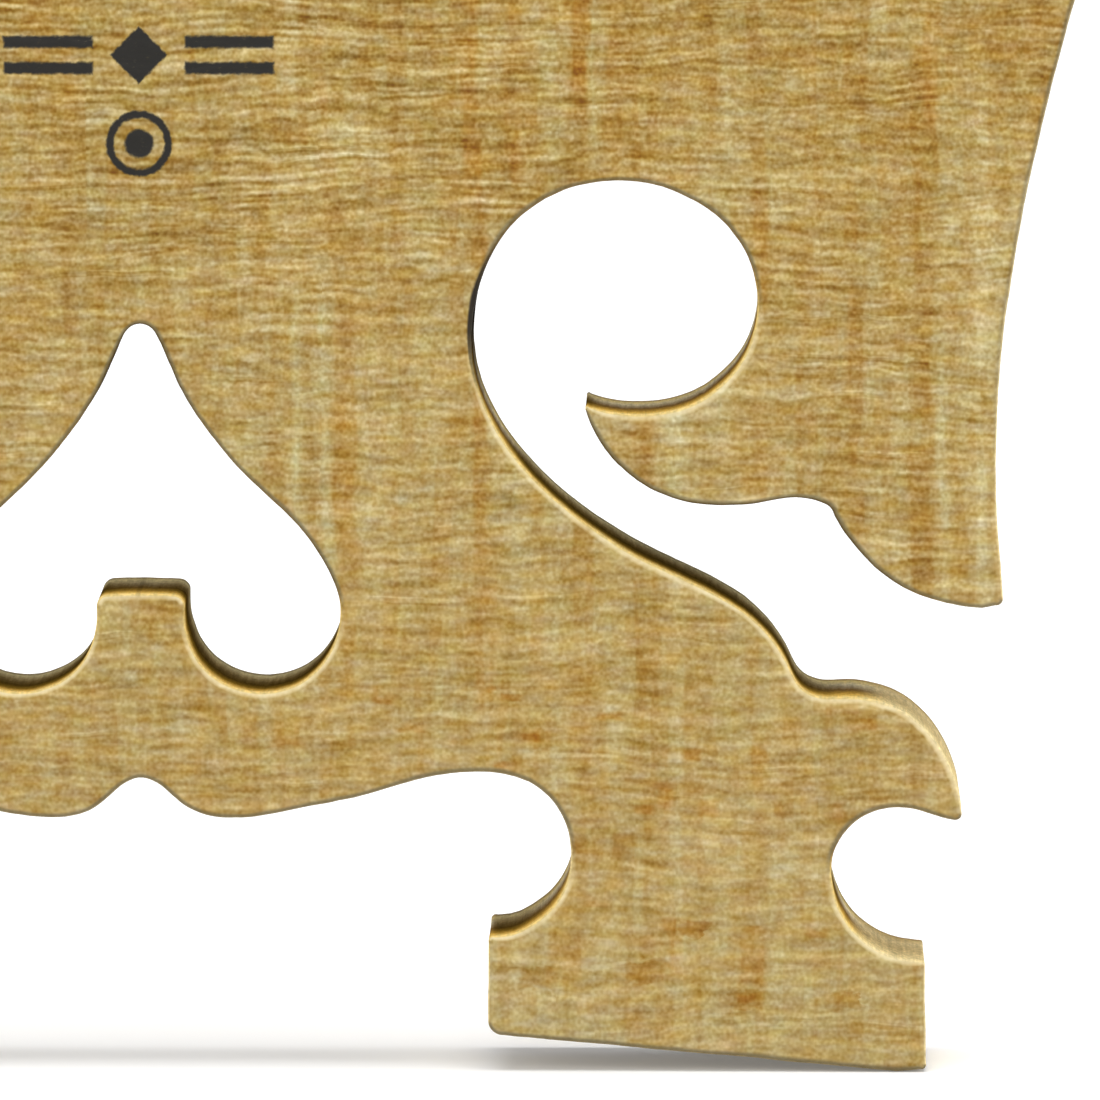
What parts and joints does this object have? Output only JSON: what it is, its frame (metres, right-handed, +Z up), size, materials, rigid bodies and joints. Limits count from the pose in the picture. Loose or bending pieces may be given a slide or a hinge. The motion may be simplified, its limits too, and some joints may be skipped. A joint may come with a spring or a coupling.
{
  "type": "violin bridge",
  "caption": "Full-size violin bridge blank in quarter-sawn maple, with feet, ankles, knees, kidney-shaped eyes, a pierced heart and a plain crowned top.",
  "frame": {"origin": "on the ground plane, midway between the feet and midway through their thickness", "axes": "+Z up from the feet to the string edge, +X across the strings, +Y through the thickness from the flat face to the crowned face"},
  "size_m": [0.0498, 0.0046, 0.0366],
  "materials": {
    "maple": "bare quarter-sawn maple, sanded face, smoke-darkened sawn walls"
  },
  "bodies": {
    "root": {"bridge": "maple"}
  },
  "joints": []
}
